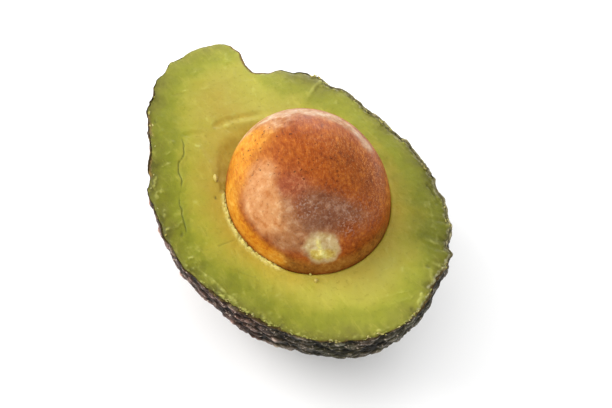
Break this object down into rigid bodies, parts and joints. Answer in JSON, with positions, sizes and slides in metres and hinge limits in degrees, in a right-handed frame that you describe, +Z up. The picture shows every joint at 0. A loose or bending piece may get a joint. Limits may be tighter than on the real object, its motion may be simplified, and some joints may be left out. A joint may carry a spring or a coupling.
{
  "type": "avocado",
  "caption": "Avocado half cut lengthwise, lying on its back with the cut face up and its large egg-shaped seed still in the flesh.",
  "frame": {"origin": "middle of the outline, on the surface that the half lies on", "axes": "+Y along the fruit to its stem end, +Z up, square to the cut face, +X across the fruit"},
  "size_m": [0.072, 0.1074, 0.0561],
  "materials": {
    "skin": "pebbled satin, near black with brown and green tints",
    "flesh": "moist and waxy, green near the peel and yellow near the seed",
    "seed": "smooth satin, mottled orange brown"
  },
  "bodies": {
    "root": {"skin": "skin", "flesh": "flesh", "seed": "seed"}
  },
  "joints": []
}
